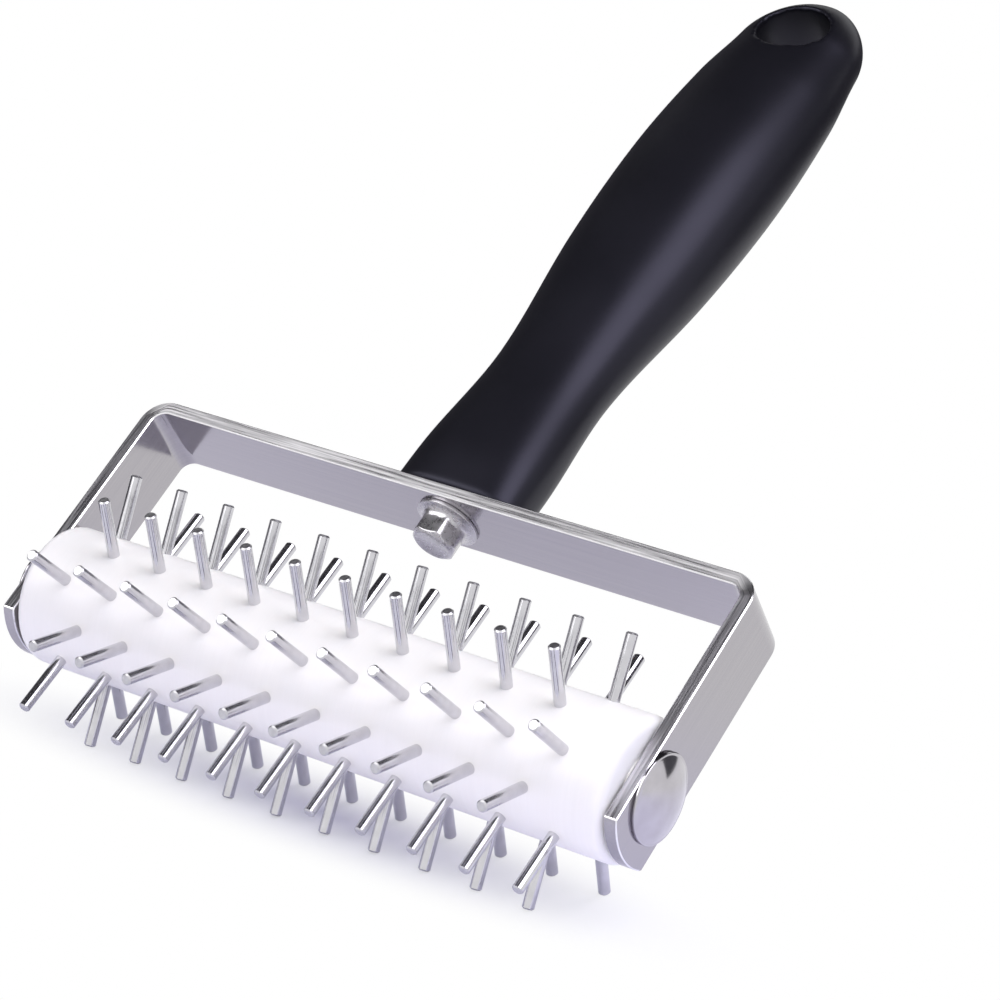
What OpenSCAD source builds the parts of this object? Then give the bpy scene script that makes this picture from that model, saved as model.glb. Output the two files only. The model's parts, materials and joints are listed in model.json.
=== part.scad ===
// Dough docker: a spiked plastic roller that turns on an axle in a bent steel yoke,
// with a moulded handle bolted to the yoke. It stands on two rows of its pins, with
// the roller's axis along X and the handle rising toward +Y. Millimetres, +Z up.

/* [Roller] */
// Diameter of the plastic roller
roller_d = 25.2; // [20:0.1:34]
// Plain length of the roller past the last pin at each end
end_margin = 9.5; // [6:0.5:14]
// Radius of the round edge at each end of the roller
roller_edge_r = 2; // [1:0.5:5]
// Diameter of the raised hub at each end of the roller
hub_d = 14; // [11.5:0.5:16]
// Space between the end of the roller and the arm of the yoke
end_gap = 0.5; // [0.4:0.1:2]
// Play between each hub and the arm it runs against
end_play = 0.2; // [0.1:0.05:0.35]

/* [Pins] */
// Diameter of a steel pin
pin_d = 2.1; // [1.6:0.1:3]
// How far a pin stands out of the roller
pin_out = 11.5; // [7:0.5:15]
// How deep a pin is pressed into the roller
pin_seat = 6.5; // [4:0.5:7]
// Distance between neighbouring pins in one row
pin_pitch = 10.5; // [8:0.5:14]
// Number of pins in a long row; a short row has one pin less
long_row_pins = 11; // [7:1:13]
// Width of the bevel round the tip of a pin
pin_bevel = 0.3; // [0.1:0.05:0.5]
// Radial gap left round a pin in its hole
pin_fit = 0.01; // [0.01:0.01:0.03]

/* [Yoke] */
// Width of the steel strip
strip_w = 15; // [13:0.5:18]
// Thickness of the steel strip
strip_t = 2.5; // [2:0.25:3.5]
// Inside radius of the two bends
bend_r = 2.5; // [1:0.25:5]
// Free space between the pin tips and the head of the bolt
pin_room = 7.65; // [4:0.05:20]
// How far each arm reaches past the axle
arm_end = 11.9; // [9.5:0.1:12.5]
// Radius of the arc that ends each arm
arm_end_r = 13.5; // [12:0.5:20]
// Angle at which the yoke rises from the table
yoke_tilt = 39; // [20:1:60]

/* [Axle] */
// Diameter of the axle inside the roller
axle_d = 8; // [7:0.25:9]
// Radial running clearance between the axle and the roller
axle_run = 0.08; // [0.03:0.01:0.1]
// Diameter of the axle's reduced ends, which pass through the arms
tenon_d = 6; // [4:0.25:6.5]
// How far a reduced end stands out of the arm, into its cap
tenon_out = 1.4; // [0.8:0.1:1.6]
// Diameter of the domed caps on the axle's ends
cap_d = 15.8; // [13:0.2:18]
// Height of the thin rim round a cap
cap_rim = 0.7; // [0.4:0.1:1.2]
// Height of a cap's dome over its rim
cap_dome = 1.8; // [1.4:0.1:3]

/* [Handle] */
// Length of the handle
grip_l = 137; // [118:1:160]
// Lean of the handle from the plane of the yoke
grip_lean = 4.8; // [0:0.1:8]
// Width of the handle's foot on the crossbar
foot_w = 25.8; // [22:0.2:32]
// Width at the flare over the foot
flare_w = 25.4; // [24:0.2:34]
// Width at the waist
waist_w = 23.4; // [20:0.2:28]
// Thickness at the waist
waist_t = 16.8; // [14:0.2:22]
// Width of the swell between the waist and the palm
swell_w = 29.2; // [24:0.2:34]
// Width at the palm, the widest place
palm_w = 31; // [28:0.2:38]
// Thickness at the palm
palm_t = 24.8; // [20:0.2:32]
// Width where the round end starts
end_w = 25.8; // [24:0.2:32]
// Thickness where the round end starts
end_t = 17; // [14:0.2:22]
// Length of the round end
end_l = 13.5; // [12:0.5:22]
// Diameter of the hanging hole
hang_d = 14; // [10:0.5:15]
// Material left between the hanging hole and the tip of the handle
hang_wall = 6; // [5:0.2:9]
// Width of the bevel round each mouth of the hanging hole
hang_bevel = 1.2; // [0.6:0.1:1.8]

/* [Bolt] */
// Thread diameter of the bolt
bolt_d = 5; // [4:0.5:6]
// Length of the bolt under its head
bolt_l = 16; // [12:0.5:20]
// Width of the hexagon across its flats
hex_w = 8; // [7:0.5:9]
// Height of the hexagon over the flange
hex_h = 3.8; // [3:0.2:6]
// Diameter of the flange under the hexagon
flange_d = 12; // [11:0.2:14]
// Thickness of the flange at its edge
flange_t = 0.7; // [0.5:0.1:1.6]
// Outside diameter of the threaded insert in the handle
insert_d = 8; // [7:0.25:10]

/* [Hidden] */

$fn = 96;
// Overlap that lets a cutter pass cleanly through a face
eps = 0.1;
// Clearance round the axle's ends in the arms, and round the bolt in the crossbar
tenon_gap = 0.1;
bolt_gap = 0.25;
// Radial gap between pieces that are pressed, screwed or moulded together
press_gap = 0.02;
// Gap past the blind end of a pressed piece
blind_gap = 0.05;

// Colours of the finishes
steel = "#b9b7bf";
pin_steel = "#c9c9cf";
white_plastic = "#f1f2f4";
black_plastic = "#17171b";
brass = "#b5924c";

// Roller and pins
pin_rows = 10;
row_step = 360 / pin_rows;
roller_r = roller_d / 2;
roller_l = (long_row_pins - 1) * pin_pitch + 2 * end_margin;
hub_h = end_gap - end_play;
bore_r = axle_d / 2 + axle_run;
pin_r = pin_d / 2;
tip_r = roller_r + pin_out;
seat_r = roller_r - pin_seat;

// The pins stand on the two lowest rows, on the lower edge of each flat tip
rest_a = row_step / 2;
axle_z = max(tip_r * cos(rest_a) + (pin_r - pin_bevel) * sin(rest_a),
             (tip_r - pin_bevel) * cos(rest_a) + pin_r * sin(rest_a));

// Bolt, from the crossbar down to the flat top of its head
bell_h = 1.3;
hex_chamfer = 0.35;
chamfer_slope = 30;
dish_h = 0.25;
dish_rim = 0.7;
bolt_chamfer = 0.6;
head_h = flange_t + bell_h + hex_h;
hex_corner_r = hex_w / 2 / cos(30);
// The insert is this much longer than the bolt's reach into it
insert_spare = 1.5;
insert_l = bolt_l - strip_t + insert_spare;
insert_groove = 0.6;

// Yoke, measured from the axle toward the handle
inner_w = roller_l + 2 * end_gap;
outer_w = inner_w + 2 * strip_t;
bar_y = tip_r + pin_room + head_h;
seat_y = bar_y + strip_t;

// Handle: [distance from the crossbar, half the width, half the thickness]
foot_inset = 0.5;
foot_t = strip_w - 2 * foot_inset;
flare_t = foot_t + 2.4;
flare_at = 11;
waist_at = 33;
swell_t = (waist_t + palm_t) / 2 + 2;
end_at = grip_l - end_l;
taper_at = end_at - 14;
taper_w = end_w + 0.69 * (palm_w - end_w);
taper_t = end_t + 0.56 * (palm_t - end_t);
tip_share = 0.95;
palm_at = taper_at - 22;
swell_at = palm_at - 25;
stations = [[0, foot_w / 2, foot_t / 2],
            [flare_at, flare_w / 2, flare_t / 2],
            [waist_at, waist_w / 2, waist_t / 2],
            [swell_at, swell_w / 2, swell_t / 2],
            [palm_at, palm_w / 2, palm_t / 2],
            [taper_at, taper_w / 2, taper_t / 2],
            [end_at, end_w / 2, end_t / 2],
            [grip_l, tip_share * end_w / 2, tip_share * end_t / 2]];
// Squareness of the cross section at the foot and at the palm, and of the round end
foot_power = 2.8;
palm_power = 2.1;
end_power = 1.8;
// Length over which the section turns from the foot's shape to the palm's
section_run = 45;
foot_round = 1.2;
grip_sides = 40;
grip_rings = 34;
end_rings = 9;
foot_steps = [0, 0.12, 0.35, 0.7];
ring_s = concat([for (f = foot_steps) f * foot_round],
                [for (i = [0 : grip_rings]) foot_round + (end_at - foot_round) * i / grip_rings],
                [for (i = [1 : end_rings - 1]) end_at + end_l * sin(90 * i / end_rings)]);

// Hanging hole, square to the leaning handle, and its sloping mouths
hang_r = hang_d / 2;
hang_at = grip_l - hang_wall - hang_r;
mouth_near = half(stations, hang_at - hang_r, 2);
mouth_far = half(stations, hang_at + hang_r, 2);
mouth_slope = atan((mouth_near - mouth_far) / hang_d);

// The part stands in the middle of its own length
far_y = max([for (s = ring_s)
             (seat_y + s) * cos(yoke_tilt) + (drop(s) + half(stations, s, 2)) * sin(yoke_tilt)]);
axle_y = (tip_r - far_y) / 2;

// Smooth curve through the stations; k picks the width or the thickness
function station(st, s, i = 0) =
    i >= len(st) - 2 || s < st[i + 1][0] ? i : station(st, s, i + 1);
function slope(st, i, k) =
    let (a = max(i - 1, 0), b = min(i + 1, len(st) - 1))
    (st[b][k] - st[a][k]) / (st[b][0] - st[a][0]);
function curve(st, s, k) =
    let (i = station(st, s), h = st[i + 1][0] - st[i][0], t = (s - st[i][0]) / h)
    (1 + 2 * t) * pow(1 - t, 2) * st[i][k] + t * pow(1 - t, 2) * h * slope(st, i, k)
    + t * t * (3 - 2 * t) * st[i + 1][k] + t * t * (t - 1) * h * slope(st, i + 1, k);
// The round end closes both widths, and the foot's lower edge is rounded
function closing(s) =
    s <= end_at ? 1 : pow(1 - pow((s - end_at) / end_l, end_power), 1 / end_power);
function foot_cut(s) =
    s >= foot_round ? 0 : foot_round - sqrt(pow(foot_round, 2) - pow(foot_round - s, 2));
function half(st, s, k) = curve(st, s, k) * closing(s) - foot_cut(s);
function drop(s) = s * tan(grip_lean);
function power(s) = palm_power + (foot_power - palm_power) * pow(max(0, 1 - s / section_run), 2);
function rounded(v, p) = sign(v) * pow(abs(v), 2 / p);
function ring(s) =
    [for (i = [0 : grip_sides - 1])
     let (a = 360 * i / grip_sides, p = power(s))
     [half(stations, s, 1) * rounded(cos(a), p), s,
      half(stations, s, 2) * rounded(sin(a), p) - drop(s)]];

// Places its children in the yoke's own frame: y from the axle toward the handle
module on_yoke() {
    translate([0, axle_y, axle_z]) rotate([yoke_tilt, 0, 0]) children();
}

// Turns a piece that is drawn along +Z to run along +X from the axle's middle
module along_x() {
    translate([0, axle_y, axle_z]) rotate([0, 90, 0]) children();
}

module arch(w, top, r, low) {
    translate([-w / 2, low]) square([w, top - r - low]);
    translate([r - w / 2, low]) square([w - 2 * r, top - low]);
    for (side = [-1, 1])
        translate([side * (w / 2 - r), top - r]) circle(r);
}

module yoke() {
    low = -arm_end;
    arc_y = arm_end_r - arm_end;
    color(steel) on_yoke() difference() {
        translate([0, 0, -strip_w / 2]) linear_extrude(strip_w) difference() {
            arch(outer_w, seat_y, bend_r + strip_t, low);
            arch(inner_w, bar_y, bend_r, low - eps);
        }
        // Everything past the arc at the end of each arm
        translate([0, arc_y, 0]) rotate([0, 90, 0]) difference() {
            translate([-strip_w, -arm_end_r - eps, -outer_w / 2 - eps])
                cube([2 * strip_w, arm_end_r + eps, outer_w + 2 * eps]);
            translate([0, 0, -outer_w]) cylinder(r = arm_end_r, h = 2 * outer_w);
        }
        rotate([0, 90, 0])
            cylinder(r = tenon_d / 2 + tenon_gap, h = outer_w + 2 * eps, center = true);
        translate([0, bar_y - eps, 0]) rotate([-90, 0, 0])
            cylinder(r = bolt_d / 2 + bolt_gap, h = strip_t + 2 * eps);
    }
}

module grip_skin() {
    n = grip_sides;
    m = len(ring_s);
    points = concat([[0, 0, 0]], [for (s = ring_s) each ring(s)], [[0, grip_l, -drop(grip_l)]]);
    last = len(points) - 1;
    foot = [for (i = [0 : n - 1]) [0, 1 + i, 1 + (i + 1) % n]];
    tip = [for (i = [0 : n - 1]) [last, last - n + (i + 1) % n, last - n + i]];
    side = [for (j = [0 : m - 2]) for (i = [0 : n - 1])
            let (a = 1 + j * n + i, b = 1 + j * n + (i + 1) % n)
            each [[a, a + n, b], [b, a + n, b + n]]];
    polyhedron(points, concat(foot, side, tip));
}

// Cone that bevels one mouth of the hanging hole, square to the surface there
module hang_mouth() {
    translate([0, 0, (mouth_near + mouth_far) / 2]) rotate([-mouth_slope, 0, 0])
        translate([0, 0, -hang_bevel - hang_r])
            cylinder(r1 = 0, r2 = 2 * (hang_r + hang_bevel), h = 2 * (hang_r + hang_bevel));
}

module handle() {
    color(black_plastic) on_yoke() translate([0, seat_y, 0]) difference() {
        grip_skin();
        translate([0, -eps, 0]) rotate([-90, 0, 0])
            cylinder(r = insert_d / 2 + press_gap, h = insert_l + blind_gap + eps);
        translate([0, hang_at, -drop(hang_at)]) rotate([-grip_lean, 0, 0]) {
            cylinder(r = hang_r, h = 2 * palm_t, center = true);
            hang_mouth();
            mirror([0, 0, 1]) hang_mouth();
        }
    }
}

module handle_insert() {
    r = insert_d / 2;
    mid = insert_l / 2;
    bore = bolt_d / 2 + press_gap;
    color(brass) on_yoke() translate([0, seat_y, 0]) rotate([-90, 0, 0]) rotate_extrude()
        polygon([[bore, 0], [r, 0], [r, mid - 1], [r - insert_groove, mid - 1],
                 [r - insert_groove, mid + 1], [r, mid + 1], [r, insert_l], [bore, insert_l]]);
}

// Flange with a bell-shaped top, which sweeps up into the flats of the hexagon
module bolt_flange() {
    flange_r = flange_d / 2;
    bell_run = flange_r - hex_w / 2;
    bell_r = (pow(bell_run, 2) + pow(bell_h, 2)) / (2 * bell_h);
    rotate_extrude() difference() {
        square([flange_r, flange_t + bell_h]);
        translate([flange_r, flange_t + bell_r]) circle(bell_r);
    }
}

module handle_bolt() {
    shank_r = bolt_d / 2;
    top_r = hex_w / 2 - hex_chamfer;
    dish_r = top_r - dish_rim;
    color(pin_steel) on_yoke() translate([0, bar_y, 0]) {
        rotate([90, 0, 0]) {
            bolt_flange();
            difference() {
                intersection() {
                    cylinder(r = hex_corner_r, h = head_h, $fn = 6);
                    cylinder(r1 = top_r + head_h / tan(chamfer_slope), r2 = top_r, h = head_h);
                }
                translate([0, 0, head_h - dish_h])
                    cylinder(r1 = dish_r - dish_h, r2 = dish_r + eps, h = dish_h + eps);
            }
        }
        rotate([-90, 0, 0]) {
            cylinder(r = shank_r, h = bolt_l - bolt_chamfer);
            translate([0, 0, bolt_l - bolt_chamfer])
                cylinder(r1 = shank_r, r2 = shank_r - bolt_chamfer, h = bolt_chamfer);
        }
    }
}

// Turns its children to pin row k and sets them at each pin of that row
module at_pins(k) {
    count = long_row_pins - (k % 2 == 0 ? 1 : 0);
    for (i = [0 : count - 1])
        translate([(i - (count - 1) / 2) * pin_pitch, axle_y, axle_z])
            rotate([(k + 1 / 2) * row_step, 0, 0]) children();
}

module roller_body() {
    edge = roller_edge_r;
    end = roller_l / 2;
    color(white_plastic) difference() {
        along_x() rotate_extrude() {
            translate([bore_r, -end]) square([roller_r - edge - bore_r, roller_l]);
            translate([bore_r, edge - end]) square([roller_r - bore_r, roller_l - 2 * edge]);
            translate([bore_r, -end - hub_h]) square([hub_d / 2 - bore_r, roller_l + 2 * hub_h]);
            for (side = [-1, 1])
                translate([roller_r - edge, side * (end - edge)]) circle(edge);
        }
        for (k = [0 : pin_rows - 1])
            at_pins(k) translate([0, 0, seat_r]) cylinder(r = pin_r + pin_fit, h = roller_r);
    }
}

module pin() {
    translate([0, 0, seat_r]) cylinder(r = pin_r, h = tip_r - pin_bevel - seat_r);
    translate([0, 0, tip_r - pin_bevel]) cylinder(r1 = pin_r, r2 = pin_r - pin_bevel, h = pin_bevel);
}

module pin_row(k) {
    color(pin_steel) at_pins(k) pin();
}

module axle() {
    color(steel) along_x() {
        cylinder(r = axle_d / 2, h = inner_w, center = true);
        cylinder(r = tenon_d / 2, h = outer_w + 2 * tenon_out, center = true);
    }
}

module axle_cap(side) {
    r = cap_d / 2;
    step = 0.4;
    dome_r = (pow(r - step, 2) + pow(cap_dome, 2)) / (2 * cap_dome);
    color(steel) along_x() mirror([0, 0, side < 0 ? 1 : 0]) translate([0, 0, outer_w / 2])
        difference() {
            union() {
                cylinder(r = r, h = cap_rim);
                intersection() {
                    cylinder(r = r - step, h = cap_rim + cap_dome);
                    translate([0, 0, cap_rim + cap_dome - dome_r]) sphere(dome_r);
                }
            }
            translate([0, 0, -eps])
                cylinder(r = tenon_d / 2 + press_gap, h = tenon_out + blind_gap + eps);
        }
}

yoke();
handle();
handle_insert();
handle_bolt();
roller_body();
axle();
axle_cap(-1);  // axle_cap_left
axle_cap(1);  // axle_cap_right
pin_row(0);  // pin_row_01
pin_row(1);  // pin_row_02
pin_row(2);  // pin_row_03
pin_row(3);  // pin_row_04
pin_row(4);  // pin_row_05
pin_row(5);  // pin_row_06
pin_row(6);  // pin_row_07
pin_row(7);  // pin_row_08
pin_row(8);  // pin_row_09
pin_row(9);  // pin_row_10
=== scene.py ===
import json
import math

import bmesh
import bpy
from mathutils import Matrix, Vector


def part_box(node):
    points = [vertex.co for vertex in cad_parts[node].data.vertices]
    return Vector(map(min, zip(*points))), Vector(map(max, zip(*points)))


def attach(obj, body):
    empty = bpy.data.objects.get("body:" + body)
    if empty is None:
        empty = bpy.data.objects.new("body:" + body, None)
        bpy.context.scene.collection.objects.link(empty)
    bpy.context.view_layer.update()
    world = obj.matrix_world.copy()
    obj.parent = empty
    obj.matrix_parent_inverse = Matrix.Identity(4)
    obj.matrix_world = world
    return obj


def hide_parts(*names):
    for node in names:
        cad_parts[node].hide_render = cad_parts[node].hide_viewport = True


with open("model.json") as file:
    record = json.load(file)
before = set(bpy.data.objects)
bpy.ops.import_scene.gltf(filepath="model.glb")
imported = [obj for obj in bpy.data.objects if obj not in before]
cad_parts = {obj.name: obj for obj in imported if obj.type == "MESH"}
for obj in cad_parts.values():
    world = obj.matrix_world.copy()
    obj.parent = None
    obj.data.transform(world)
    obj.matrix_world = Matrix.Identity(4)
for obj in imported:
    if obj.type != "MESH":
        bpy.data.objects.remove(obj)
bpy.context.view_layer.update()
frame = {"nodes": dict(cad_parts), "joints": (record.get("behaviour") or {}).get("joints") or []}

# Everything below is in metres; sizes are written in millimetres times MM
MM = 0.001
# Points closer than this are one point, and faces that turn less than this are one face
ONE_POINT = 0.001 * MM
ONE_FACE = math.radians(0.3)


# Camera, at the photograph's viewing angle
CAMERA_AZIMUTH = 33.372
CAMERA_ELEVATION = 17.59
CAMERA_ROLL = 5.412
CAMERA_DISTANCE = 631.86 * MM
CAMERA_LENS = 126.488
AIM = Vector((-4.169, -9.68, 44.853)) * MM


def make_camera():
    data = bpy.data.cameras.new("camera")
    data.lens = CAMERA_LENS
    data.sensor_width = 36
    data.clip_start = 0.01
    turn = (Matrix.Rotation(math.radians(CAMERA_AZIMUTH), 4, "Z")
            @ Matrix.Rotation(math.radians(90 - CAMERA_ELEVATION), 4, "X"))
    camera = bpy.data.objects.new("camera", data)
    camera.matrix_world = (Matrix.Translation(AIM) @ turn
                           @ Matrix.Translation((0, 0, CAMERA_DISTANCE))
                           @ Matrix.Rotation(math.radians(CAMERA_ROLL), 4, "Z"))
    bpy.context.scene.collection.objects.link(camera)
    bpy.context.scene.camera = camera


# Places read from the frame
AXLE = Vector(frame["joints"][0]["pos_m"])
YOKE_TILT = math.radians(39)
YOKE = Matrix.Translation(AXLE) @ Matrix.Rotation(YOKE_TILT, 4, "X")

# Strip of the yoke
STRIP_THICK = 2.5 * MM
BEND_OUTER_R = 5 * MM
STRIP_BEVEL = 0.2 * MM
OUTER_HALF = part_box("yoke")[1][0]
SEAT = 40.05 * MM
# Where the bends start, measured from the axle
CORNER_X = OUTER_HALF - BEND_OUTER_R
CORNER_Y = SEAT - BEND_OUTER_R
# Material slots of the strip's narrow sides and of its bevels
SIDE_SLOT = 1
EDGE_SLOT = 2
# A face is a narrow side where its normal's cosine with the strip's width is above this
NARROW_SIDE = 0.95

# Handle, measured from the crossbar's outer face
GRIP_LENGTH = 137 * MM
GRIP_LEAN = math.radians(4.8)
END_LENGTH = 13.5 * MM
END_POWER = 1.8
FOOT_ROUND = 1.2 * MM
FOOT_POWER = 2.8
PALM_POWER = 2.1
SECTION_RUN = 45 * MM
# Distance from the crossbar, half the width, half the thickness, in millimetres
GRIP_STATIONS = ((0, 12.9, 7), (11, 12.7, 8.2), (33, 11.7, 8.4), (62.5, 14.6, 11.4),
                 (87.5, 15.5, 12.4), (109.5, 14.694, 10.684), (123.5, 12.9, 8.5),
                 (137, 12.255, 8.075))
GRIP_SIDES = 96
GRIP_RINGS = 150
END_RINGS = 30
HANG_R = 7 * MM
HANG_AT = 124 * MM
HANG_ROUND = 1.2 * MM
GRIP_VOXEL = 0.45 * MM
# Half the length of the hole's cutter, and how far a mouth's cutter stands out
CUTTER_HALF = 30 * MM
MOUTH_OUT = 6 * MM


def linear(hex_colour):
    """An sRGB hex colour as the linear colour that Blender's sockets take."""
    values = [int(hex_colour[i:i + 2], 16) / 255 for i in (1, 3, 5)]
    return [v / 12.92 if v <= 0.04045 else ((v + 0.055) / 1.055) ** 2.4 for v in values] + [1]


def add(tree, kind, links=(), **values):
    """Adds a node to a tree. A value whose name is a property sets it; any other sets an input.
    links are (input, output socket) pairs."""
    node = tree.nodes.new(kind)
    for name, value in values.items():
        if hasattr(node, name):
            setattr(node, name, value)
        else:
            node.inputs[name.replace("_", " ")].default_value = value
    for name, output in links:
        tree.links.new(output, node.inputs[name])
    return node


def material(name, colour, rough, metallic=0.0):
    """A new material with a Principled surface, and its node tree and shader."""
    made = bpy.data.materials.new(name)
    made.use_nodes = True
    tree = made.node_tree
    shader = tree.nodes["Principled BSDF"]
    shader.inputs["Base Color"].default_value = linear(colour)
    shader.inputs["Roughness"].default_value = rough
    shader.inputs["Metallic"].default_value = metallic
    return made, tree, shader


# Where most of a noise lies, between 0 and 1
NOISE_LOW, NOISE_HIGH = 0.3, 0.7


def patches(tree, size, detail):
    """Noise all through a piece, in patches of that size in metres."""
    place = add(tree, "ShaderNodeTexCoord")
    return add(tree, "ShaderNodeTexNoise", [("Vector", place.outputs["Object"])],
               Scale=1 / size, Detail=detail)


def drawn_out(tree, where, sizes):
    """Noise in patches of those sizes in metres along X, Y and Z of the vector where."""
    scaled = add(tree, "ShaderNodeMapping", [("Vector", where)],
                 Scale=[1 / size for size in sizes])
    return add(tree, "ShaderNodeTexNoise", [("Vector", scaled.outputs["Vector"])],
               Scale=1.0, Detail=2.0)


def lengthwise_lines(tree, wide, long):
    """Lines along the yoke's strip, of that width and length in metres."""
    grain = add(tree, "ShaderNodeAttribute", attribute_name="grain")
    return drawn_out(tree, grain.outputs["Vector"], (long, wide, wide))


def vary(tree, shader, noise, tints, roughs):
    """Runs a shader's colour and roughness with a noise, each between two values."""
    tint = add(tree, "ShaderNodeValToRGB", [("Fac", noise.outputs["Fac"])])
    for element, at, colour in zip(tint.color_ramp.elements, (NOISE_LOW, NOISE_HIGH), tints):
        element.position = at
        element.color = linear(colour)
    rough = add(tree, "ShaderNodeMapRange", [("Value", noise.outputs["Fac"])],
                From_Min=NOISE_LOW, From_Max=NOISE_HIGH, To_Min=roughs[0], To_Max=roughs[1])
    tree.links.new(tint.outputs["Color"], shader.inputs["Base Color"])
    tree.links.new(rough.outputs["Result"], shader.inputs["Roughness"])


def raise_by(tree, shader, noise, strength, height):
    """Bumps a shader's surface by a noise, up to that height in metres."""
    bump = add(tree, "ShaderNodeBump", [("Height", noise.outputs["Fac"])],
               Strength=strength, Distance=height)
    tree.links.new(bump.outputs["Normal"], shader.inputs["Normal"])


def rolled_strip_steel():
    """Cold-rolled stainless strip with its mill finish: smooth and grey, so that it mirrors
    the shapes round it softly, with faint lines along its length from the rolls."""
    made, tree, shader = material("cold_rolled_stainless_strip", "#b0adb3", 0.15, 1.0)
    # The rolls leave lines about 0.05 mm wide; drawn at 0.35 mm to show
    lines = lengthwise_lines(tree, 0.35 * MM, 50 * MM)
    vary(tree, shader, lines, ("#afacb1", "#b4b1b5"), (0.13, 0.17))
    raise_by(tree, shader, lines, 0.015, 0.02 * MM)
    return made


def ground_strip_edge():
    """The strip's narrow sides, ground along their length. The scratches spread reflections
    across the side, so that it turns white or dark as a whole with fine lines along it."""
    made, tree, shader = material("ground_stainless_edge", "#cfcdd2", 0.29, 1.0)
    shader.inputs["Anisotropic"].default_value = 0.9
    across = add(tree, "ShaderNodeAttribute", attribute_name="across")
    tree.links.new(across.outputs["Vector"], shader.inputs["Tangent"])
    # Real scratches are about 0.05 mm wide; drawn at 0.35 mm to show
    scratches = lengthwise_lines(tree, 0.35 * MM, 14 * MM)
    vary(tree, shader, scratches, ("#9f9da2", "#fbf9fc"), (0.25, 0.33))
    raise_by(tree, shader, scratches, 0.2, 0.03 * MM)
    return made


def painted_highlight_edge_steel():
    """The strip's bevelled edges, in a steel far paler than the strip as a painted highlight, so
    that a crisp light line runs along each edge. The painted highlight is patchy every few
    millimetres."""
    made, tree, shader = material("painted_highlight_stainless_edge", "#f0eff2", 0.2, 1.0)
    highlight_patches = patches(tree, 3.333 * MM, 2.0)
    vary(tree, shader, highlight_patches, ("#e9e8eb", "#f7f6f9"), (0.16, 0.24))
    return made


def polished_pin_steel():
    """Drawn stainless wire, tumbled to a polish. It mirrors the light and dark round it
    as streaks down each pin, softened by the tumbling, a little more in some patches."""
    made, tree, shader = material("polished_stainless_wire", "#cfced2", 0.15, 1.0)
    polish = patches(tree, 2 * MM, 1.0)
    vary(tree, shader, polish, ("#cbcace", "#d3d2d6"), (0.13, 0.17))
    return made


def sheared_pin_steel():
    """The pins' cut and bevelled ends, matt from the shears, so that each end is one even
    grey inside its edge."""
    made, tree, shader = material("sheared_stainless_wire", "#c6c5c9", 0.36, 1.0)
    # The shears tear the metal at about 0.1 mm; drawn at 0.67 mm to show
    tear = patches(tree, 0.6667 * MM, 1.0)
    vary(tree, shader, tear, ("#c0bfc3", "#cccbcf"), (0.31, 0.41))
    return made


def machined_bolt_steel():
    """Cold-formed stainless bolt with a satin finish on its flats and flange. It mirrors the
    room as soft grey shapes, mottled at about a millimetre by the forming."""
    made, tree, shader = material("cold_formed_stainless_bolt", "#bfbdc1", 0.28, 1.0)
    mottle = patches(tree, 1.111 * MM, 3.0)
    vary(tree, shader, mottle, ("#b7b5b9", "#c7c5c9"), (0.24, 0.32))
    raise_by(tree, shader, mottle, 0.08, 0.03 * MM)
    return made


def pressed_cap_steel():
    """Pressed stainless cap, barrel-polished. Its low dome gathers a soft gradient, uneven
    over a few millimetres from the barrel."""
    made, tree, shader = material("pressed_stainless_cap", "#bebbc1", 0.13, 1.0)
    polish = patches(tree, 3.333 * MM, 3.0)
    vary(tree, shader, polish, ("#bab7bc", "#c3c0c6"), (0.11, 0.15))
    return made


def moulded_black_plastic():
    """Injection-moulded black polypropylene with a fine satin grain, which spreads the
    light into one broad soft sheen. The melt's flow clouds it faintly."""
    made, tree, shader = material("moulded_black_polypropylene", "#0c0c11", 0.39)
    shader.inputs["Specular IOR Level"].default_value = 0.36
    shader.inputs["Specular Tint"].default_value = linear("#e2dfff")
    flow = patches(tree, 16.67 * MM, 3.0)
    vary(tree, shader, flow, ("#0b0b10", "#0e0e13"), (0.37, 0.41))
    # The mould's grain is about 0.15 mm; drawn at 0.4 mm to show
    grain = patches(tree, 0.4 * MM, 2.0)
    raise_by(tree, shader, grain, 0.08, 0.03 * MM)
    return made


def turned_white_plastic():
    """Turned white food-grade polyethylene: a soft, slightly translucent white with
    faint rings from the lathe."""
    made, tree, shader = material("turned_white_polyethylene", "#f8f7f4", 0.42)
    shader.inputs["Subsurface Weight"].default_value = 0.15
    shader.inputs["Subsurface Radius"].default_value = (1.0, 0.9, 0.85)
    shader.inputs["Subsurface Scale"].default_value = 1.5 * MM
    place = add(tree, "ShaderNodeTexCoord")
    # The lathe's feed is about 0.1 mm a turn; drawn at 0.4 mm to show
    rings = drawn_out(tree, place.outputs["Object"], (0.4 * MM, 33.33 * MM, 33.33 * MM))
    vary(tree, shader, rings, ("#f7f6f4", "#f9f8f6"), (0.38, 0.48))
    raise_by(tree, shader, rings, 0.02, 0.03 * MM)
    return made


def machined_brass():
    """Machined brass insert, warm and slightly dull, with the tarnish of storage."""
    made, tree, shader = material("machined_brass", "#b5924c", 0.35, 1.0)
    tarnish = patches(tree, 1.25 * MM, 3.0)
    vary(tree, shader, tarnish, ("#ad8a46", "#bd9a55"), (0.28, 0.42))
    return made


def link_mesh(name, mesh, finish, sharp=30):
    """An object at the origin with that mesh and finish, smooth but for its sharp edges."""
    mesh.materials.clear()
    mesh.materials.append(finish)
    mesh.shade_smooth()
    mesh.set_sharp_from_angle(angle=math.radians(sharp))
    piece = bpy.data.objects.new(name, mesh)
    bpy.context.scene.collection.objects.link(piece)
    return piece


def settled(piece):
    """Puts the result of a piece's modifiers in its mesh and removes them."""
    graph = bpy.context.evaluated_depsgraph_get()
    mesh = bpy.data.meshes.new_from_object(piece.evaluated_get(graph))
    piece.modifiers.clear()
    piece.data = mesh
    return mesh


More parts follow.
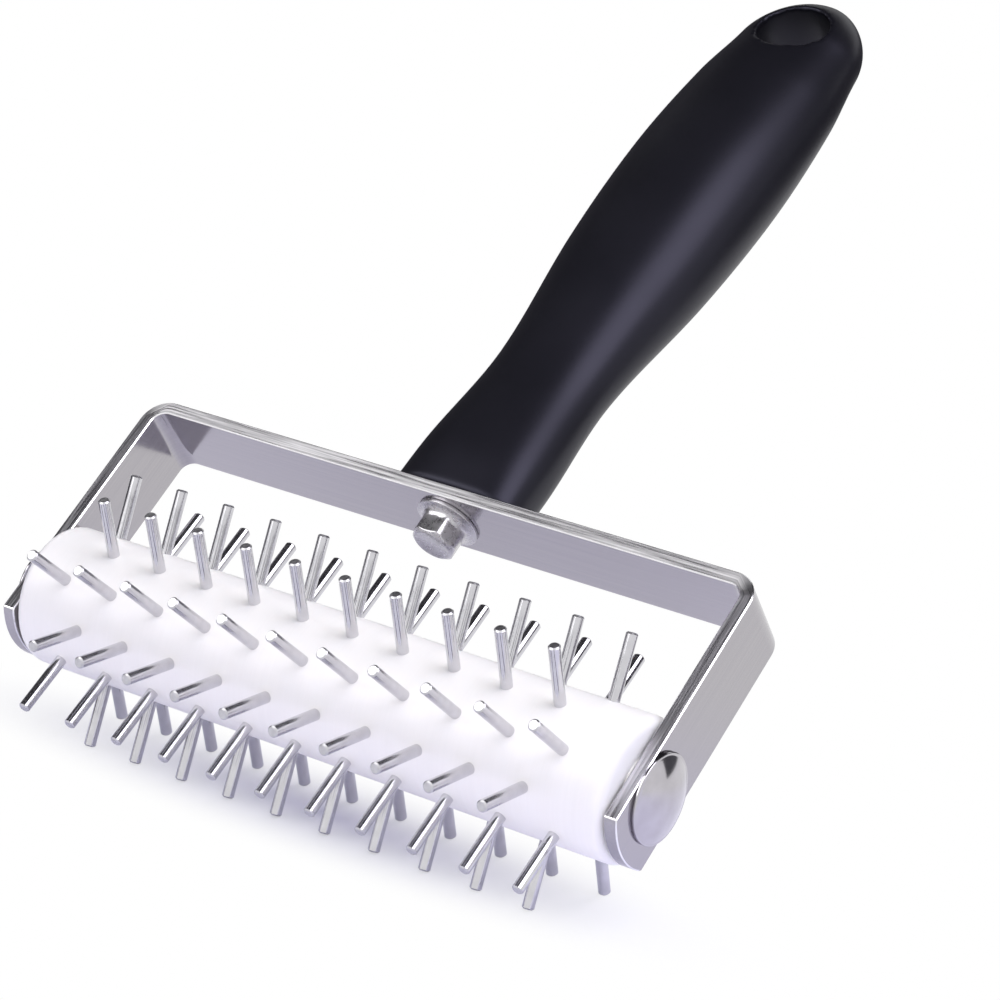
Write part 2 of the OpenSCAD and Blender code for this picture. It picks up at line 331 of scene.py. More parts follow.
def stands_for(piece, body, slot, *nodes):
    """Hides the CAD nodes that a piece stands for and attaches the piece to its body. slot is not
    used.
    """
    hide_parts(*nodes)
    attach(piece, body)


def cad_copy(node, name):
    """A merged copy of a CAD node's mesh, flat faces joined."""
    mesh = frame["nodes"][node].data.copy()
    mesh.name = name
    work = bmesh.new()
    work.from_mesh(mesh)
    bmesh.ops.remove_doubles(work, verts=work.verts, dist=ONE_POINT)
    bmesh.ops.dissolve_limit(work, angle_limit=ONE_FACE, verts=work.verts, edges=work.edges)
    work.to_mesh(mesh)
    work.free()
    # The imported normals no longer fit the joined faces
    if "custom_normal" in mesh.attributes:
        mesh.attributes.remove(mesh.attributes["custom_normal"])
    return mesh


def bevel_edges(piece, wide, slot, sharp=35):
    """Bevels a piece's sharp edges, with flat bevels in the finish of that slot."""
    bevel = piece.modifiers.new("edges", "BEVEL")
    bevel.width = wide
    bevel.segments = 1
    bevel.use_clamp_overlap = False
    bevel.limit_method = "ANGLE"
    bevel.angle_limit = math.radians(sharp)
    bevel.material = slot
    return settled(piece)


def flat_flats(piece, sharp=30):
    """Shades a piece smooth but for its sharp edges, with its large faces kept flat."""
    piece.data.shade_smooth()
    piece.data.set_sharp_from_angle(angle=math.radians(sharp))
    flats = piece.modifiers.new("flats", "WEIGHTED_NORMAL")
    flats.weight = 100
    flats.keep_sharp = True
    return settled(piece)


def lathe(name, outline, place, finish, steps=96):
    """A solid of revolution about its own Z axis. outline is points of (radius, height), from
    the axis to the axis or round a closed loop."""
    work = bmesh.new()
    rings = []
    for radius, height in outline:
        if radius == 0:
            rings.append([work.verts.new((0, 0, height))])
            continue
        rings.append([work.verts.new((radius * math.cos(math.tau * i / steps),
                                      radius * math.sin(math.tau * i / steps), height))
                      for i in range(steps)])
    for low, high in zip(rings, rings[1:]):
        for i in range(steps):
            j = (i + 1) % steps
            corners = [low[i % len(low)], low[j % len(low)],
                       high[j % len(high)], high[i % len(high)]]
            work.faces.new(list(dict.fromkeys(corners)))
    bmesh.ops.transform(work, matrix=place, verts=work.verts)
    bmesh.ops.recalc_face_normals(work, faces=work.faces)
    mesh = bpy.data.meshes.new(name)
    work.to_mesh(mesh)
    work.free()
    return link_mesh(name, mesh, finish)


def arc(centre, radius, start, end, steps=8):
    """Points on an arc, angles in degrees."""
    return [(centre[0] + radius * math.cos(math.radians(start + (end - start) * i / steps)),
             centre[1] + radius * math.sin(math.radians(start + (end - start) * i / steps)))
            for i in range(steps + 1)]


# Handle
def grip_half(s, column):
    """Half the width or thickness of the handle at s metres from the crossbar."""
    stations = GRIP_STATIONS
    at = s / MM
    i = 0
    while i < len(stations) - 2 and at >= stations[i + 1][0]:
        i += 1

    def slope(j):
        a, b = stations[max(j - 1, 0)], stations[min(j + 1, len(stations) - 1)]
        return (b[column] - a[column]) / (b[0] - a[0])

    run = stations[i + 1][0] - stations[i][0]
    t = (at - stations[i][0]) / run
    value = ((1 + 2 * t) * (1 - t) ** 2 * stations[i][column] + t * (1 - t) ** 2 * run * slope(i)
             + t * t * (3 - 2 * t) * stations[i + 1][column] + t * t * (t - 1) * run * slope(i + 1))
    past = max(0, s - (GRIP_LENGTH - END_LENGTH)) / END_LENGTH
    closing = max(0, 1 - past ** END_POWER) ** (1 / END_POWER)
    cut = 0
    if s < FOOT_ROUND:
        cut = FOOT_ROUND - math.sqrt(FOOT_ROUND ** 2 - (FOOT_ROUND - s) ** 2)
    return value * MM * closing - cut


def grip_drop(s):
    """How far the handle's leaning axis lies below the strip's middle at s metres."""
    return s * math.tan(GRIP_LEAN)


def grip_ring(s):
    """Points of the handle's cross section, a superellipse that is squarer at the foot."""
    power = PALM_POWER + (FOOT_POWER - PALM_POWER) * max(0, 1 - s / SECTION_RUN) ** 2
    wide, thick = grip_half(s, 1), grip_half(s, 2)
    points = []
    for i in range(GRIP_SIDES):
        turn = math.tau * i / GRIP_SIDES
        c, d = math.cos(turn), math.sin(turn)
        points.append((math.copysign(abs(c) ** (2 / power), c) * wide, s,
                       math.copysign(abs(d) ** (2 / power), d) * thick - grip_drop(s)))
    return points


def make_handle(finish):
    run = GRIP_LENGTH - END_LENGTH
    foot = [FOOT_ROUND * f for f in (0, 0.05, 0.2, 0.5)]
    shaft = [FOOT_ROUND + (run - FOOT_ROUND) * i / GRIP_RINGS for i in range(GRIP_RINGS + 1)]
    end = [run + END_LENGTH * math.sin(math.pi / 2 * i / END_RINGS)
           for i in range(1, END_RINGS)]
    place = YOKE @ Matrix.Translation((0, SEAT, 0))
    work = bmesh.new()
    first = work.verts.new((0, 0, 0))
    rings = [[work.verts.new(p) for p in grip_ring(s)] for s in foot + shaft + end]
    last = work.verts.new((0, GRIP_LENGTH, -grip_drop(GRIP_LENGTH)))
    for low, high in zip(rings, rings[1:]):
        for i in range(GRIP_SIDES):
            j = (i + 1) % GRIP_SIDES
            work.faces.new((low[i], high[i], high[j], low[j]))
    for i in range(GRIP_SIDES):
        j = (i + 1) % GRIP_SIDES
        work.faces.new((first, rings[0][i], rings[0][j]))
        work.faces.new((last, rings[-1][j], rings[-1][i]))
    bmesh.ops.transform(work, matrix=place, verts=work.verts)
    bmesh.ops.recalc_face_normals(work, faces=work.faces)
    mesh = bpy.data.meshes.new("handle_grip")
    work.to_mesh(mesh)
    work.free()
    grip = link_mesh("handle_grip", mesh, finish, sharp=80)

    # The hanging hole, its mouths flared to a soft edge square to the sloping surface
    near, far = grip_half(HANG_AT - HANG_R, 2), grip_half(HANG_AT + HANG_R, 2)
    tilt = math.atan((near - far) / (2 * HANG_R))
    level = (near + far) / 2
    hole = place @ Matrix.Translation((0, HANG_AT, -grip_drop(HANG_AT))) @ Matrix.Rotation(
        -GRIP_LEAN, 4, "X")
    bore = [(0, -CUTTER_HALF), (HANG_R, -CUTTER_HALF), (HANG_R, CUTTER_HALF), (0, CUTTER_HALF)]
    cutters = [lathe("hole_cutter", bore, hole, finish)]
    for side in (1, -1):
        flip = Matrix.Diagonal((1, 1, side, 1))
        mouth = hole @ flip @ Matrix.Translation((0, 0, level)) @ Matrix.Rotation(-tilt, 4, "X")
        flare = [(HANG_R + HANG_ROUND * (1 - math.cos(math.radians(a))),
                  -HANG_ROUND * (1 - math.sin(math.radians(a)))) for a in range(0, 81, 10)]
        outline = [(0, -HANG_ROUND), *flare, (HANG_R + 3 * HANG_ROUND, MOUTH_OUT), (0, MOUTH_OUT)]
        cutters.append(lathe("mouth_cutter", outline, mouth, finish))
    for cutter in cutters:
        cut = grip.modifiers.new("cut", "BOOLEAN")
        cut.operation = "DIFFERENCE"
        cut.solver = "EXACT"
        cut.object = cutter
    settled(grip)
    for cutter in cutters:
        bpy.data.objects.remove(cutter)
    skin = grip.modifiers.new("skin", "REMESH")
    skin.mode = "VOXEL"
    skin.voxel_size = GRIP_VOXEL
    smooth = grip.modifiers.new("soften", "SMOOTH")
    smooth.factor = 0.5
    smooth.iterations = 8
    mesh = settled(grip)
    mesh.shade_smooth()
    mesh.materials.clear()
    mesh.materials.append(finish)
    stands_for(grip, "root", "black_plastic", "handle")


# Yoke
def strip_place(point):
    """Where a point lies on the strip: (distance along it, height across it, depth below
    its outer face), and the direction from its inner to its outer face."""
    x, y, z = YOKE.inverted() @ point
    side = math.copysign(1, x)
    bend_length = (BEND_OUTER_R - STRIP_THICK / 2) * math.pi / 2
    if abs(x) <= CORNER_X and y > CORNER_Y:
        return (x, z, SEAT - y), (0, 1, 0)
    if y <= CORNER_Y:
        return (side * (CORNER_X + bend_length + CORNER_Y - y), z, OUTER_HALF - abs(x)), (1, 0, 0)
    out = Vector((abs(x) - CORNER_X, y - CORNER_Y))
    turn = math.atan2(out.x, out.y) / (math.pi / 2)
    away = Vector((side * out.x, out.y, 0)).normalized()
    return (side * (CORNER_X + bend_length * turn), z, BEND_OUTER_R - out.length), away


def make_yoke(wide_finish, side_finish, edge_finish):
    yoke = link_mesh("yoke_strip", cad_copy("yoke", "yoke_strip"), wide_finish)
    yoke.data.materials.append(side_finish)
    yoke.data.materials.append(edge_finish)
    mesh = bevel_edges(yoke, STRIP_BEVEL, EDGE_SLOT)
    # Cut where the bends start, so that grain and across run straight between the cuts
    work = bmesh.new()
    work.from_mesh(mesh)
    for point, normal in (((CORNER_X, 0, 0), (1, 0, 0)), ((-CORNER_X, 0, 0), (1, 0, 0)),
                          ((0, CORNER_Y, 0), (0, 1, 0))):
        bmesh.ops.bisect_plane(work, geom=work.verts[:] + work.edges[:] + work.faces[:],
                               dist=ONE_POINT, plane_co=YOKE @ Vector(point),
                               plane_no=YOKE.to_3x3() @ Vector(normal))
    work.to_mesh(mesh)
    work.free()
    mesh = flat_flats(yoke)
    grain = mesh.attributes.new("grain", "FLOAT_VECTOR", "POINT")
    across = mesh.attributes.new("across", "FLOAT_VECTOR", "POINT")
    turned = YOKE.to_3x3()
    for vertex, place, away in zip(mesh.vertices, grain.data, across.data):
        place.vector, direction = strip_place(vertex.co)
        away.vector = turned @ Vector(direction)
    height = turned @ Vector((0, 0, 1))
    for face in mesh.polygons:
        if abs(face.normal.dot(height)) > NARROW_SIDE:
            face.material_index = SIDE_SLOT
    stands_for(yoke, "root", "steel_strip", "yoke")


# Bolt, measured from the crossbar's inner face to the flat top of its head
HEX_HALF = 4 * MM
HEX_HIGH = 3.8 * MM
HEX_CHAMFER = 0.45 * MM
CHAMFER_SLOPE = math.radians(35)
CORNER_ROUND = 0.22 * MM
FLANGE_R = 6 * MM
FLANGE_THICK = 0.7 * MM
FLANGE_ROUND = 0.18 * MM
BELL_HIGH = 1.3 * MM
BELL_RUN = FLANGE_R - HEX_HALF
BELL_R = (BELL_RUN ** 2 + BELL_HIGH ** 2) / (2 * BELL_HIGH)
DISH_RIM = 0.25 * MM
DISH_DEEP = 0.3 * MM
DISH_WALL = 0.6 * MM
SHANK_R = 2.5 * MM
SHANK_LONG = 16 * MM
SHANK_CHAMFER = 0.6 * MM
BOLT_SIDES = 240
BELL_STEPS = 16
FLAT_STEPS = 40


def softer(a, b, round_over):
    """The lesser of two lengths, rounded where they cross."""
    gap = max(round_over - abs(a - b), 0)
    return min(a, b) - gap * gap / (4 * round_over)


def make_bolt(finish):
    head = FLANGE_THICK + BELL_HIGH + HEX_HIGH
    top_r = HEX_HALF - HEX_CHAMFER
    dish_r = top_r - DISH_RIM

    def hexagon(turn, height):
        """Radius of the chamfered hexagon, with its corners and edges a little worn."""
        flat = HEX_HALF / math.cos(turn % (math.pi / 3) - math.pi / 6)
        flat = softer(flat, HEX_HALF / math.cos(math.pi / 6) - CORNER_ROUND, CORNER_ROUND)
        return softer(flat, top_r + (head - height) / math.tan(CHAMFER_SLOPE), CORNER_ROUND)

    # Rings of (radius, height): the shank, the flange's edge and its bell
    shank = [(SHANK_R - SHANK_CHAMFER, -SHANK_LONG), (SHANK_R, SHANK_CHAMFER - SHANK_LONG),
             (SHANK_R, 0)]
    inner = FLANGE_R - FLANGE_ROUND
    flange = arc((inner, FLANGE_ROUND), FLANGE_ROUND, -90, 0, 4)
    flange += arc((inner, FLANGE_THICK - FLANGE_ROUND), FLANGE_ROUND, 0, 90, 6)
    sweep = math.asin(BELL_RUN / BELL_R)
    start = math.asin(FLANGE_ROUND / BELL_R)
    bell = [(FLANGE_R - BELL_R * math.sin(t), FLANGE_THICK + BELL_R * (1 - math.cos(t)))
            for t in (start + (sweep - start) * i / BELL_STEPS for i in range(BELL_STEPS + 1))]
    work = bmesh.new()

    def ring(radii, height):
        return [work.verts.new((r * math.cos(math.tau * i / BOLT_SIDES),
                                r * math.sin(math.tau * i / BOLT_SIDES), height))
                for i, r in enumerate(radii)]

    rings = [ring([r] * BOLT_SIDES, h) for r, h in shank + flange]
    # The flats, which no bell reaches, carry on from its last ring
    flats_from = FLANGE_THICK + BELL_HIGH
    flats = [(0, flats_from + (head - flats_from) * i / FLAT_STEPS)
             for i in range(1, FLAT_STEPS + 1)]
    for bell_r, height in bell + flats:
        turns = [math.tau * i / BOLT_SIDES for i in range(BOLT_SIDES)]
        rings.append(ring([-softer(-bell_r, -hexagon(t, height), 2 * CORNER_ROUND) if bell_r
                           else hexagon(t, height) for t in turns], height))
    for radius, height in ((dish_r, head), (dish_r - DISH_WALL, head - DISH_DEEP)):
        rings.append(ring([radius] * BOLT_SIDES, height))
    for low, high in zip(rings, rings[1:]):
        for i in range(BOLT_SIDES):
            j = (i + 1) % BOLT_SIDES
            work.faces.new((low[i], low[j], high[j], high[i]))
    work.faces.new(rings[0])
    work.faces.new(rings[-1])
    place = YOKE @ Matrix.Translation((0, SEAT - STRIP_THICK, 0)) @ Matrix.Rotation(
        math.pi / 2, 4, "X")
    bmesh.ops.transform(work, matrix=place, verts=work.verts)
    bmesh.ops.recalc_face_normals(work, faces=work.faces)
    mesh = bpy.data.meshes.new("flange_bolt")
    work.to_mesh(mesh)
    work.free()
    bolt = link_mesh("flange_bolt", mesh, finish, sharp=40)
    stands_for(bolt, "root", "pin_steel", "handle_bolt")


# Caps on the axle's ends
def make_cap(name, finish):
    low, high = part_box(name)
    radius = (high[2] - low[2]) / 2
    height = high[0] - low[0]
    side = math.copysign(1, low[0])
    rim, step, edge = 0.7 * MM, 0.4 * MM, 0.25 * MM
    dome = height - rim
    dome_r = ((radius - step) ** 2 + dome ** 2) / (2 * dome)
    sweep = math.degrees(math.asin((radius - step) / dome_r))
    outline = [(0, 0), (radius - edge, 0), (radius, edge)]
    outline += arc((radius - edge, rim - edge), edge, 0, 90, 4)
    outline += arc((0, height - dome_r), dome_r, 90 - sweep, 90, 24)
    outline[-1] = (0, height)
    base = high[0] if side < 0 else low[0]
    place = (Matrix.Translation((base, AXLE.y, AXLE.z))
             @ Matrix.Rotation(side * math.pi / 2, 4, "Y"))
    cap = lathe(name + "_dome", outline, place, finish)
    stands_for(cap, "root", "steel_strip", name)


# Roller
def make_roller(finish):
    low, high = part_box("roller_body")
    radius = (high[2] - low[2]) / 2
    half = (high[0] - low[0]) / 2
    hub_r, hub_h, edge, hub_edge = 7 * MM, 0.3 * MM, 2 * MM, 0.15 * MM
    bore_r = 4.08 * MM
    end = half - hub_h
    right = [(bore_r, half), (hub_r - hub_edge, half)]
    right += arc((hub_r - hub_edge, half - hub_edge), hub_edge, 90, 0, 4)
    right += [(hub_r, end)]
    right += arc((radius - edge, end - edge), edge, 90, 0, 14)
    outline = right + [(r, -h) for r, h in reversed(right)]
    place = Matrix.Translation(AXLE) @ Matrix.Rotation(math.pi / 2, 4, "Y")
    outline.append(outline[0])
    roller = lathe("roller_barrel", outline, place, finish, steps=160)
    # Joins the outline's last ring to its first
    work = bmesh.new()
    work.from_mesh(roller.data)
    bmesh.ops.remove_doubles(work, verts=work.verts, dist=ONE_POINT)
    bmesh.ops.recalc_face_normals(work, faces=work.faces)
    work.to_mesh(roller.data)
    work.free()
    stands_for(roller, "roller", "white_plastic", "roller_body")


# Pins, one tree of Geometry Nodes for all the rows
PIN_ROWS = 10
LONG_ROW = 11
PIN_PITCH = 10.5 * MM
PIN_BEVEL = 0.25 * MM
PIN_SIDES = 48


def pin_tree():
    """Rows of bevelled pins round an axis along X. Odd rows have one pin less than the
    long ones and stand half a pitch off them."""
    tree = bpy.data.node_groups.new("pin_rows", "GeometryNodeTree")
    inputs = (("Rows", "NodeSocketInt"), ("Long Row", "NodeSocketInt"),
              ("Pitch", "NodeSocketFloat"), ("Pin Radius", "NodeSocketFloat"),
              ("Seat Radius", "NodeSocketFloat"), ("Tip Radius", "NodeSocketFloat"),
              ("Bevel", "NodeSocketFloat"), ("Axle", "NodeSocketVector"),
              ("Finish", "NodeSocketMaterial"), ("End Finish", "NodeSocketMaterial"))
    for name, kind in inputs:
        tree.interface.new_socket(name, in_out="INPUT", socket_type=kind)
    tree.interface.new_socket("Geometry", in_out="OUTPUT", socket_type="NodeSocketGeometry")
    given = add(tree, "NodeGroupInput").outputs

    def math_node(operation, a, b):
        node = add(tree, "ShaderNodeMath", operation=operation)
        for socket, value in zip(node.inputs, (a, b)):
            if isinstance(value, (int, float)):
                socket.default_value = value
            else:
                tree.links.new(value, socket)
        return node.outputs[0]

    # One pin along +Z: a shank from the seat to the bevel, and the bevel as a cone
    shank = math_node("SUBTRACT", math_node("SUBTRACT", given["Tip Radius"], given["Bevel"]),
                      given["Seat Radius"])
    top_r = math_node("SUBTRACT", given["Pin Radius"], given["Bevel"])
    body = add(tree, "GeometryNodeMeshCone", [("Radius Top", given["Pin Radius"]),
                                              ("Radius Bottom", given["Pin Radius"]),
                                              ("Depth", shank)],
               Vertices=PIN_SIDES, fill_type="NONE")
    tip = add(tree, "GeometryNodeMeshCone", [("Radius Top", top_r),
                                             ("Radius Bottom", given["Pin Radius"]),
                                             ("Depth", given["Bevel"])], Vertices=PIN_SIDES)
    open_tip = add(tree, "GeometryNodeDeleteGeometry", [("Geometry", tip.outputs["Mesh"]),
                                                        ("Selection", tip.outputs["Bottom"])],
                   domain="FACE")
    tip_end = add(tree, "GeometryNodeSetMaterial", [("Geometry", open_tip.outputs[0]),
                                                    ("Material", given["End Finish"])])
    body_side = add(tree, "GeometryNodeSetMaterial", [("Geometry", body.outputs["Mesh"]),
                                                      ("Material", given["Finish"])])
    tip_place = add(tree, "ShaderNodeCombineXYZ", [("Z", shank)])
    tip_up = add(tree, "GeometryNodeTransform", [("Geometry", tip_end.outputs[0]),
                                                 ("Translation", tip_place.outputs[0])])
    both = add(tree, "GeometryNodeJoinGeometry", [("Geometry", body_side.outputs[0]),
                                                  ("Geometry", tip_up.outputs["Geometry"])])
    seat = add(tree, "ShaderNodeCombineXYZ", [("Z", given["Seat Radius"])])
    pin = add(tree, "GeometryNodeTransform", [("Geometry", both.outputs["Geometry"]),
                                              ("Translation", seat.outputs[0])])

    # A point for each pin, row by row
    total = math_node("MULTIPLY", given["Rows"], given["Long Row"])
    points = add(tree, "GeometryNodePoints", [("Count", total)])
    index = add(tree, "GeometryNodeInputIndex").outputs[0]
    row = math_node("FLOOR", math_node("DIVIDE", index, given["Long Row"]), 0)
    number = math_node("MODULO", index, given["Long Row"])
    short = math_node("SUBTRACT", 1, math_node("MODULO", row, 2))
    count = math_node("SUBTRACT", given["Long Row"], short)
    spare = math_node("GREATER_THAN", number, math_node("SUBTRACT", count, 0.5))
    middle = math_node("DIVIDE", math_node("SUBTRACT", count, 1), 2)
    along = math_node("MULTIPLY", math_node("SUBTRACT", number, middle), given["Pitch"])
    turn = math_node("MULTIPLY", math_node("DIVIDE", math_node("ADD", row, 0.5), given["Rows"]),
                     math.tau)
    place = add(tree, "ShaderNodeCombineXYZ", [("X", along)])
    sum_place = add(tree, "ShaderNodeVectorMath", operation="ADD")
    tree.links.new(place.outputs[0], sum_place.inputs[0])
    tree.links.new(given["Axle"], sum_place.inputs[1])
    set_place = add(tree, "GeometryNodeSetPosition", [("Geometry", points.outputs[0]),
                                                      ("Position", sum_place.outputs[0])])
    turned = add(tree, "ShaderNodeCombineXYZ", [("X", turn)])
    angle = add(tree, "FunctionNodeEulerToRotation", [("Euler", turned.outputs[0])])
    stand = add(tree, "GeometryNodeInstanceOnPoints", [("Points", set_place.outputs[0]),
                                                       ("Instance", pin.outputs[0]),
                                                       ("Rotation", angle.outputs[0])])
    flag = add(tree, "GeometryNodeStoreNamedAttribute", [("Geometry", stand.outputs[0]),
                                                         ("Value", spare)],
               data_type="FLOAT", domain="INSTANCE")
    flag.inputs["Name"].default_value = "spare"
    named = add(tree, "GeometryNodeInputNamedAttribute", data_type="FLOAT")
    named.inputs["Name"].default_value = "spare"
    keep = add(tree, "GeometryNodeDeleteGeometry", [("Geometry", flag.outputs[0]),
                                                    ("Selection", named.outputs[0])],
               domain="INSTANCE")
    real = add(tree, "GeometryNodeRealizeInstances", [("Geometry", keep.outputs[0])])
    merged = add(tree, "GeometryNodeMergeByDistance", [("Geometry", real.outputs[0])],
                 Distance=ONE_POINT)
    add(tree, "NodeGroupOutput", [("Geometry", merged.outputs[0])])
    return tree


def make_pins(finish, end_finish):
    low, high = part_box("pin_row_03")
    values = {"Rows": PIN_ROWS, "Long Row": LONG_ROW, "Pitch": PIN_PITCH,
              "Pin Radius": (high[2] - low[2]) / 2, "Seat Radius": AXLE.y - high[1],
              "Tip Radius": AXLE.y - low[1], "Bevel": PIN_BEVEL, "Axle": AXLE, "Finish": finish,
              "End Finish": end_finish}
    tree = pin_tree()
    pins = bpy.data.objects.new("pins", bpy.data.meshes.new("pins"))
    bpy.context.scene.collection.objects.link(pins)
    rows = pins.modifiers.new("rows", "NODES")
    rows.node_group = tree
    for item in tree.interface.items_tree:
        if item.in_out == "INPUT" and item.name in values:
            rows[item.identifier] = values[item.name]
    mesh = settled(pins)
    mesh.shade_smooth()
    mesh.set_sharp_from_angle(angle=math.radians(30))
    stands_for(pins, "roller", "pin_steel", *[f"pin_row_{k:02d}" for k in range(1, PIN_ROWS + 1)])


# Studio
FLOOR_HALF = 4.0
# The floor shows its lit lavender colour near the roller, with the real shadow in it, and fades to
# a white glow between
# # these distances from the roller's middle, so that an oval of painted shade lies round the
# roller. The
# # first is below zero, so the fade has already begun there
SHADOW_NEAR, SHADOW_FAR = -0.004, 0.020
# How much a distance counts along the roller, and how much it counts in a reflection, so
# # that metal sees more of the shadow and of the painted shade
SHADOW_OVAL = 0.2
SHADOW_SEEN_IN_METAL = 0.17
ROOM_LIGHT = 0.45
# Where each band starts and ends round the handle's axis, and its distances from it, in
# degrees; then how far away the bands are, and how many faces they have round the axis
BANDS = (("card_over", 70, 200, (50, 61, 73, 84)), ("card_end", -20, 200, (4, 24, 48)))
BAND_FAR = 1.2
BAND_STEPS = 24
# Where each low card starts and ends round the object in degrees, how near it comes, and
# where its wall starts and ends; then how far out the walls stand, and the degrees between
# their points
LOW_CARDS = (("card_behind", 35, 125, 0.45, 0.002, 0.2),
             ("card_left", 125, 222, 0.13, 0.002, 0.3))
CARD_OUT = 0.5
CARD_STEP = 5


def area_lamp(name, place, aim, size, power, colour="#ffffff"):
    data = bpy.data.lights.new(name, "AREA")
    data.shape = "RECTANGLE"
    data.size, data.size_y = size
    data.energy = power
    data.color = linear(colour)[:3]
    lamp = bpy.data.objects.new(name, data)
    lamp.location = place
    lamp.rotation_euler = (Vector(aim) - Vector(place)).to_track_quat("-Z", "Y").to_euler()
    bpy.context.scene.collection.objects.link(lamp)
    return lamp


def background_share(tree):
    """1 for the rays that show the background: from the camera, a reflection or glass."""
    rays = add(tree, "ShaderNodeLightPath")
    shown = rays.outputs["Is Camera Ray"]
    for name in ("Is Glossy Ray", "Is Transmission Ray"):
        more = add(tree, "ShaderNodeMath", operation="MAXIMUM")
        tree.links.new(shown, more.inputs[0])
        tree.links.new(rays.outputs[name], more.inputs[1])
        shown = more.outputs[0]
    return shown


def make_floor():
    mesh = bpy.data.meshes.new("floor")
    mesh.from_pydata([(FLOOR_HALF * x, FLOOR_HALF * y, 0)
                      for x, y in ((-1, -1), (1, -1), (1, 1), (-1, 1))], [], [(0, 1, 2, 3)])
    # The lavender floor colour is a painted shade tint, seen only near the object
    made, tree, shader = material("white_floor", "#e5e5f9", 0.9)
    shader.inputs["Specular IOR Level"].default_value = 0.0
    # White as background away from the object; near it the lit floor shows the real shadow and, in
    # an oval, a painted shade of its own lavender colour
    place = add(tree, "ShaderNodeTexCoord")
    oval = add(tree, "ShaderNodeMapping", [("Vector", place.outputs["Object"])],
               Scale=(SHADOW_OVAL, 1, 1))
    far = add(tree, "ShaderNodeVectorMath", [("Vector", oval.outputs["Vector"])],
              operation="LENGTH")
    rays = add(tree, "ShaderNodeLightPath")
    scale = add(tree, "ShaderNodeMapRange", [("Value", rays.outputs["Is Camera Ray"])],
                To_Min=SHADOW_SEEN_IN_METAL, To_Max=1.0)
    scaled = add(tree, "ShaderNodeMath", operation="MULTIPLY")
    tree.links.new(far.outputs["Value"], scaled.inputs[0])
    tree.links.new(scale.outputs["Result"], scaled.inputs[1])
    glowing = add(tree, "ShaderNodeMapRange", [("Value", scaled.outputs[0])],
                  interpolation_type="SMOOTHSTEP", From_Min=SHADOW_NEAR, From_Max=SHADOW_FAR)
    share = add(tree, "ShaderNodeMath", operation="MULTIPLY")
    tree.links.new(background_share(tree), share.inputs[0])
    tree.links.new(glowing.outputs["Result"], share.inputs[1])
    glow = add(tree, "ShaderNodeEmission", Strength=1.0)
    mixed = add(tree, "ShaderNodeMixShader", [("Fac", share.outputs[0])])
    tree.links.new(shader.outputs[0], mixed.inputs[1])
    tree.links.new(glow.outputs[0], mixed.inputs[2])
    tree.links.new(mixed.outputs[0], tree.nodes["Material Output"].inputs["Surface"])
    mesh.materials.append(made)
    floor = bpy.data.objects.new("floor", mesh)
    floor.location = (AXLE.x, AXLE.y, 0)
    bpy.context.scene.collection.objects.link(floor)


def make_world():
    world = bpy.data.worlds.new("studio")
    bpy.context.scene.world = world
    world.use_nodes = True
    # The room is one even light, so it needs no map of where it is bright
    world.cycles.sampling_method = "NONE"
    tree = world.node_tree
    room = tree.nodes["Background"]
    room.inputs["Color"].default_value = linear("#dadef3")
    room.inputs["Strength"].default_value = ROOM_LIGHT
    white = add(tree, "ShaderNodeBackground", Color=linear("#ffffff"), Strength=1.0)
    mixed = add(tree, "ShaderNodeMixShader", [("Fac", background_share(tree))])
    tree.links.new(room.outputs[0], mixed.inputs[1])
    tree.links.new(white.outputs[0], mixed.inputs[2])
    tree.links.new(mixed.outputs[0], tree.nodes["World Output"].inputs["Surface"])


def add_card(name, grid, finish):
    """A card that only reflections show. grid is rows of its points."""
    wide = len(grid[0])
    mesh = bpy.data.meshes.new(name)
    mesh.from_pydata([p for row in grid for p in row], [],
                     [(i * wide + j, i * wide + j + 1, (i + 1) * wide + j + 1, (i + 1) * wide + j)
                      for i in range(len(grid) - 1) for j in range(wide - 1)])
    mesh.materials.append(finish)
    card = bpy.data.objects.new(name, mesh)
    card.visible_camera = False
    card.visible_diffuse = False
    card.visible_transmission = False
    card.visible_shadow = False
    bpy.context.scene.collection.objects.link(card)


def card_finish(name, colour):
    """A card's even colour, which no lamp changes."""
    made, _, shader = material(name, "#000000", 1.0)
    shader.inputs["Specular IOR Level"].default_value = 0.0
    shader.inputs["Emission Color"].default_value = linear(colour)
    shader.inputs["Emission Strength"].default_value = 1.0
    return made


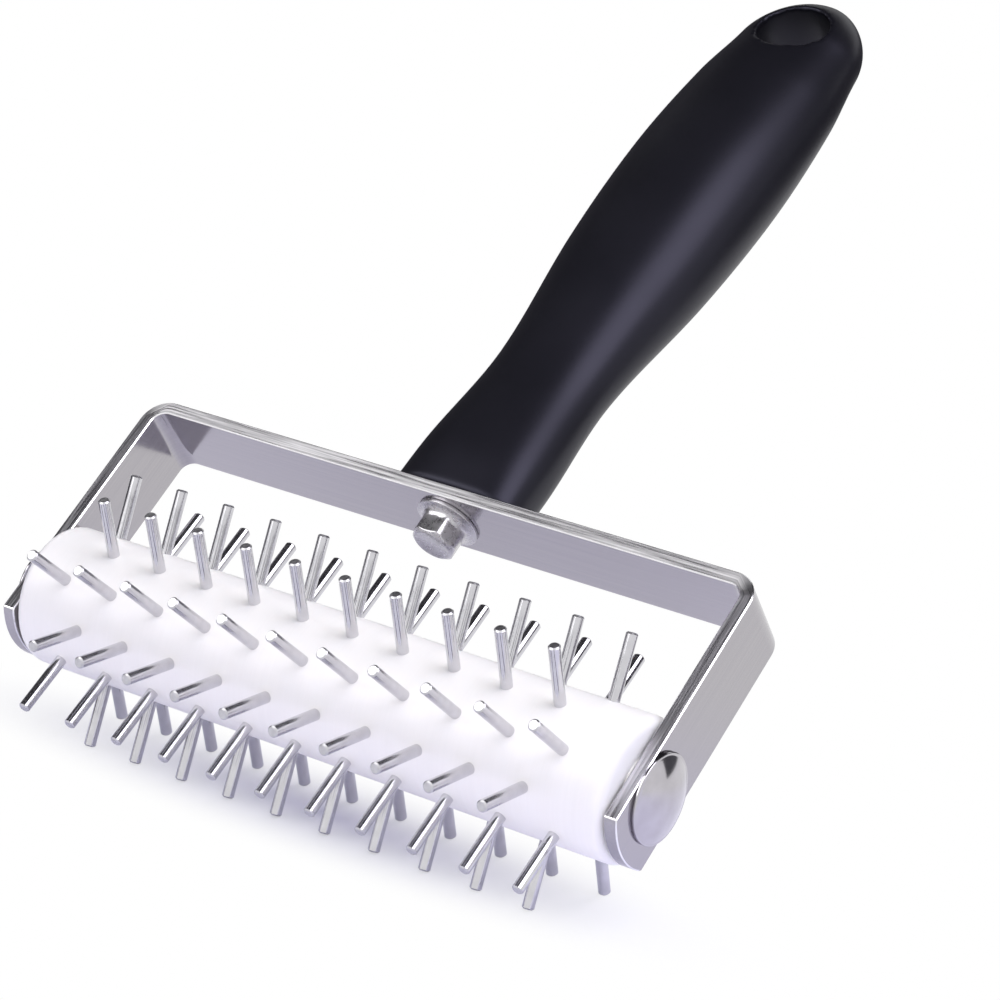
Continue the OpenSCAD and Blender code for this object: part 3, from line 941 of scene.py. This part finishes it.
def make_cards():
    black = card_finish("black_card", "#2c2b2f")
    grey = card_finish("grey_card", "#57565b")
    # Bands over the handle and past its end, which keep its left side and its end black and
    # darken the arms' narrow sides
    lean = YOKE_TILT - GRIP_LEAN
    along = Vector((0, math.cos(lean), math.sin(lean)))
    right = Vector((1, 0, 0))
    up = right.cross(along)
    middle = YOKE @ Vector((0, SEAT, 0))
    for name, first, last, spreads in BANDS:
        rows = []
        for spread in map(math.radians, spreads):
            rows.append([])
            for i in range(BAND_STEPS + 1):
                turn = math.radians(first + (last - first) * i / BAND_STEPS)
                side = right * math.cos(turn) + up * math.sin(turn)
                away = along * math.cos(spread) + side * math.sin(spread)
                rows[-1].append(middle + away * BAND_FAR)
        add_card(name, rows, black)
    # Cards on the floor that turn up into low walls, seen as the dark lines on the pins,
    # the bolt and the caps
    for name, first, last, near, low, high in LOW_CARDS:
        rows = [[Vector((r * math.cos(math.radians(a)), r * math.sin(math.radians(a)), z))
                 for a in range(first, last + 1, CARD_STEP)]
                for r, z in ((near, low), (CARD_OUT, low), (CARD_OUT, high))]
        add_card(name, rows, grey)


def make_studio():
    make_floor()
    make_world()
    make_cards()
    middle = (0, 0, 0.05)
    area_lamp("key", (0.635, -0.05, 0.892), (0, 0.045, 0.12), (0.75, 0.75), 6.4, "#f8f6ff")
    # Seen in reflections only
    front = area_lamp("front", (-0.57, -0.72, 0.78), middle, (1.1, 1.1), 8.5)
    front.visible_diffuse = False
    # Light matt surfaces only
    over = area_lamp("over", (0.05, 0.1, 1.15), middle, (0.9, 0.9), 4.6, "#fffaf2")
    over.visible_glossy = False
    behind = area_lamp("behind", (0.25, 0.95, 0.7), middle, (0.5, 0.5), 4.6, "#fff6ea")
    behind.visible_glossy = False
    # Light thrown back by the room in front, too soft for shadows
    low = area_lamp("low_front", (-0.1, -1.1, 0.15), middle, (0.8, 0.8), 4.4, "#fff8ee")
    low.data.use_shadow = False
    low.visible_glossy = False
    bpy.context.scene.view_settings.view_transform = "Standard"


make_camera()
strip_steel = rolled_strip_steel()
side_steel = ground_strip_edge()
edge_steel = painted_highlight_edge_steel()
wire_steel = polished_pin_steel()
end_steel = sheared_pin_steel()
bolt_steel = machined_bolt_steel()
cap_steel = pressed_cap_steel()
black_plastic = moulded_black_plastic()
white_plastic = turned_white_plastic()
brass = machined_brass()

make_handle(black_plastic)
make_yoke(strip_steel, side_steel, edge_steel)
make_bolt(bolt_steel)
for cap_name in ("axle_cap_left", "axle_cap_right"):
    make_cap(cap_name, cap_steel)
make_roller(white_plastic)
make_pins(wire_steel, end_steel)
for node_name, finish in (("axle", cap_steel), ("handle_insert", brass)):
    frame["nodes"][node_name].data.materials.clear()
    frame["nodes"][node_name].data.materials.append(finish)
make_studio()
